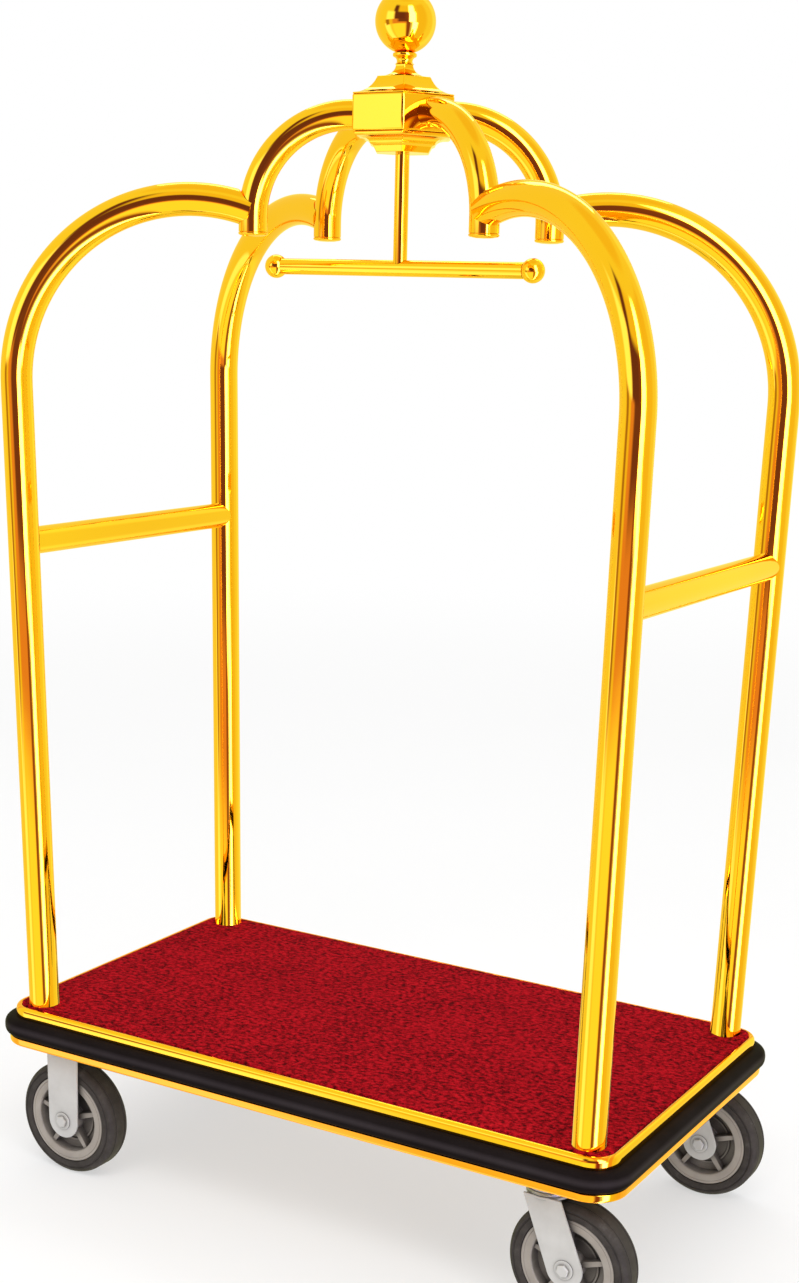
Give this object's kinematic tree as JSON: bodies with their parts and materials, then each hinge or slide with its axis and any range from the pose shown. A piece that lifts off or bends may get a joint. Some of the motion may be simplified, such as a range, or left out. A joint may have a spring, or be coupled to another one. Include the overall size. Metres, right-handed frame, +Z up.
{
  "type": "hotel luggage cart",
  "caption": "Birdcage luggage cart: bent tube posts over a carpeted deck with a bumper, a crown with a ball finial and hanger bar, and fixed and swivel casters.",
  "frame": {"origin": "on the floor, under the middle of the deck", "axes": "+X along the deck towards the swivel casters, +Y to the back, +Z up"},
  "size_m": [1.2, 0.668, 1.9519],
  "materials": {
    "polished_gold": "mirror-polished gold plating",
    "bumper_rubber": "satin black rubber",
    "tyre_rubber": "dark grey solid rubber",
    "zinc_plate": "pale satin zinc plating",
    "wheel_plastic": "grey moulded plastic",
    "steel": "plain steel",
    "red_carpet": "short-pile crimson carpet with dark flecks",
    "plywood": "plain plywood"
  },
  "bodies": {
    "cart_frame": {"deck_board": "plywood", "underframe": "steel", "carpet": "red_carpet", "deck_trim_upper": "polished_gold", "deck_trim_lower": "polished_gold", "bumper": "bumper_rubber", "post_front_left": "polished_gold", "post_front_right": "polished_gold", "post_back_left": "polished_gold", "post_back_right": "polished_gold", "post_bolt_front_left": "zinc_plate", "post_bolt_front_right": "zinc_plate", "post_bolt_back_left": "zinc_plate", "post_bolt_back_right": "zinc_plate", "crown_arch_front_left": "polished_gold", "crown_arch_front_right": "polished_gold", "crown_arch_back_left": "polished_gold", "crown_arch_back_right": "polished_gold", "crown_hub": "polished_gold", "hub_roof": "polished_gold", "hub_base": "polished_gold", "finial_neck": "polished_gold", "finial_ball": "polished_gold", "hanger_rod": "polished_gold", "hanger_bar": "polished_gold", "hanger_ball_left": "polished_gold", "hanger_ball_right": "polished_gold", "crossbar_left": "polished_gold", "crossbar_right": "polished_gold", "fixed_fork_front_left": "zinc_plate", "fixed_fork_back_left": "zinc_plate", "axle_bolt_front_left": "zinc_plate", "axle_bolt_back_left": "zinc_plate", "axle_nut_front_left": "zinc_plate", "axle_nut_back_left": "zinc_plate", "swivel_plate_front_right": "zinc_plate", "swivel_plate_back_right": "zinc_plate", "kingpin_front_right": "steel", "kingpin_back_right": "steel"},
    "swivel_front_right": {"swivel_fork_front_right": "zinc_plate", "swivel_race_front_right": "steel", "axle_bolt_front_right": "zinc_plate", "axle_nut_front_right": "zinc_plate"},
    "swivel_back_right": {"swivel_fork_back_right": "zinc_plate", "swivel_race_back_right": "steel", "axle_bolt_back_right": "zinc_plate", "axle_nut_back_right": "zinc_plate"},
    "wheel_front_left": {"tyre_front_left": "tyre_rubber", "wheel_core_front_left": "wheel_plastic", "wheel_bush_front_left": "steel"},
    "wheel_back_left": {"tyre_back_left": "tyre_rubber", "wheel_core_back_left": "wheel_plastic", "wheel_bush_back_left": "steel"},
    "wheel_front_right": {"tyre_front_right": "tyre_rubber", "wheel_core_front_right": "wheel_plastic", "wheel_bush_front_right": "steel"},
    "wheel_back_right": {"tyre_back_right": "tyre_rubber", "wheel_core_back_right": "wheel_plastic", "wheel_bush_back_right": "steel"}
  },
  "joints": [
    {"name": "front_right_swivel", "type": "hinge", "parent": "cart_frame", "child": "swivel_front_right", "pos_m": [0.46, -0.266, 0.21], "axis": [0, 0, 1], "continuous": true},
    {"name": "back_right_swivel", "type": "hinge", "parent": "cart_frame", "child": "swivel_back_right", "pos_m": [0.46, 0.266, 0.21], "axis": [0, 0, 1], "continuous": true},
    {"name": "front_left_roll", "type": "hinge", "parent": "cart_frame", "child": "wheel_front_left", "pos_m": [-0.463, -0.266, 0.1], "axis": [0, 1, 0], "continuous": true},
    {"name": "back_left_roll", "type": "hinge", "parent": "cart_frame", "child": "wheel_back_left", "pos_m": [-0.463, 0.266, 0.1], "axis": [0, 1, 0], "continuous": true},
    {"name": "front_right_roll", "type": "hinge", "parent": "swivel_front_right", "child": "wheel_front_right", "pos_m": [0.505, -0.266, 0.1], "axis": [0, 1, 0], "continuous": true},
    {"name": "back_right_roll", "type": "hinge", "parent": "swivel_back_right", "child": "wheel_back_right", "pos_m": [0.505, 0.266, 0.1], "axis": [0, 1, 0], "continuous": true}
  ]
}
